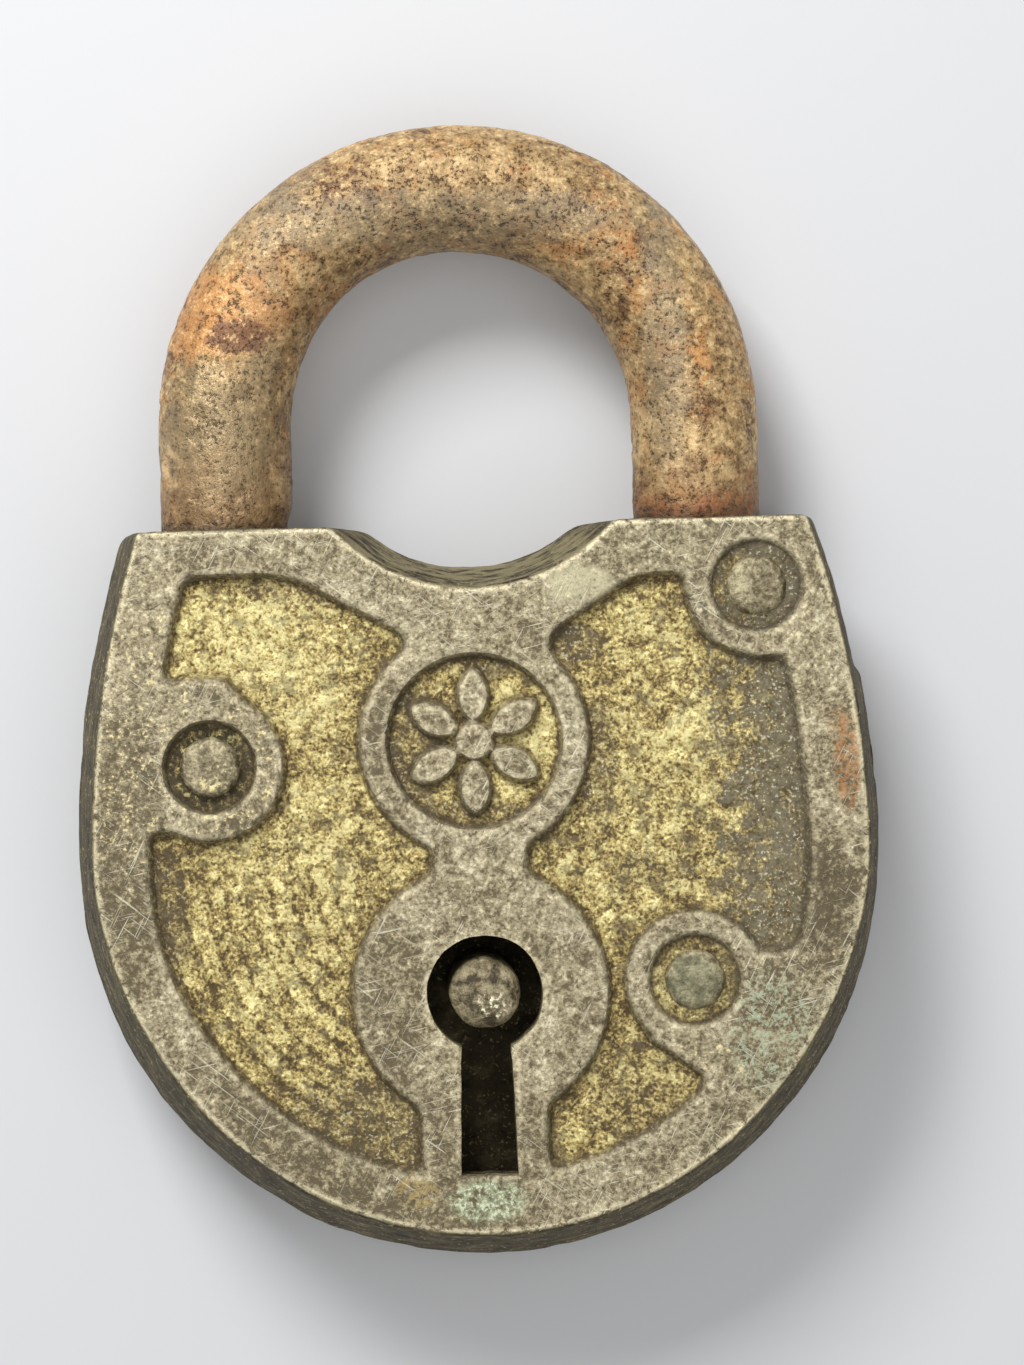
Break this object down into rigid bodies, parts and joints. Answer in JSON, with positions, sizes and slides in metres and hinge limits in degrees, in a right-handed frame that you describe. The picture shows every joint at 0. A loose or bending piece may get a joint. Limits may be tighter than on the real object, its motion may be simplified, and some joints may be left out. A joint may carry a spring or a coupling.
{
  "type": "rusty lever padlock",
  "caption": "Old cast-brass lever padlock with a swinging rusted iron shackle, a round keyhole with its post, and a working dead bolt and sprung levers inside.",
  "frame": {"origin": "on the flat back face of the case, where the key post's axis meets it", "axes": "+X to the right seen from the front, +Y from the key post towards the shackle's bow, +Z out of the front face; it lies on its back"},
  "size_m": [0.0606, 0.0853, 0.016],
  "materials": {
    "cast_brass_front": "cast, tarnished grey-brown on the raised parts, granular and golden in the sunk fields",
    "cast_brass_back": "cast, tarnished dark",
    "rivet_brass": "worn and tarnished",
    "key_post_iron": "rough, corroded",
    "rusted_iron": "mottled orange-brown rust, worn smoother in places",
    "inner_iron": "dull",
    "lever_brass": "dull sheet brass",
    "spring_steel": "dull"
  },
  "bodies": {
    "case": {"front_shell": "cast_brass_front", "back_shell": "cast_brass_back", "left_rivet": "rivet_brass", "lower_rivet": "rivet_brass", "shackle_rivet": "rivet_brass", "key_post": "key_post_iron", "guide_pin_left": "inner_iron", "guide_pin_right": "inner_iron", "lever_post": "inner_iron", "lever_spacer": "inner_iron", "lever_washer": "inner_iron", "lever_stop_pin": "inner_iron"},
    "shackle": {"shackle": "rusted_iron"},
    "bolt": {"bolt": "inner_iron", "bolt_stump": "inner_iron"},
    "lever_1": {"lever_1": "lever_brass", "lever_spring_1": "spring_steel"},
    "lever_2": {"lever_2": "lever_brass", "lever_spring_2": "spring_steel"},
    "lever_3": {"lever_3": "lever_brass", "lever_spring_3": "spring_steel"},
    "lever_4": {"lever_4": "lever_brass", "lever_spring_4": "spring_steel"},
    "lever_5": {"lever_5": "lever_brass", "lever_spring_5": "spring_steel"}
  },
  "joints": [
    {"name": "shackle_swing", "type": "hinge", "parent": "case", "child": "shackle", "pos_m": [0.0208, 0.0295, 0.008], "axis": [0, 0, 1], "range_deg": [-110, 0]},
    {"name": "bolt_slide", "type": "slide", "parent": "case", "child": "bolt", "axis": [-1, 0, 0], "range_m": [0, 0.004]},
    {"name": "lever_1_lift", "type": "hinge", "parent": "case", "child": "lever_1", "pos_m": [0.0165, 0.0135, 0.008], "axis": [0, 0, -1], "range_deg": [0, 6], "deforming": ["lever_spring_1"]},
    {"name": "lever_2_lift", "type": "hinge", "parent": "case", "child": "lever_2", "pos_m": [0.0165, 0.0135, 0.008], "axis": [0, 0, -1], "range_deg": [0, 8], "deforming": ["lever_spring_2"]},
    {"name": "lever_3_lift", "type": "hinge", "parent": "case", "child": "lever_3", "pos_m": [0.0165, 0.0135, 0.008], "axis": [0, 0, -1], "range_deg": [0, 5], "deforming": ["lever_spring_3"]},
    {"name": "lever_4_lift", "type": "hinge", "parent": "case", "child": "lever_4", "pos_m": [0.0165, 0.0135, 0.008], "axis": [0, 0, -1], "range_deg": [0, 7.5], "deforming": ["lever_spring_4"]},
    {"name": "lever_5_lift", "type": "hinge", "parent": "case", "child": "lever_5", "pos_m": [0.0165, 0.0135, 0.008], "axis": [0, 0, -1], "range_deg": [0, 6.5], "deforming": ["lever_spring_5"]}
  ],
  "couplings": [
    {"joint": "lever_1_lift", "follows": "bolt_slide", "rad_per_m": 26.18},
    {"joint": "lever_2_lift", "follows": "bolt_slide", "rad_per_m": 34.907},
    {"joint": "lever_3_lift", "follows": "bolt_slide", "rad_per_m": 21.817},
    {"joint": "lever_4_lift", "follows": "bolt_slide", "rad_per_m": 32.725},
    {"joint": "lever_5_lift", "follows": "bolt_slide", "rad_per_m": 28.362}
  ]
}
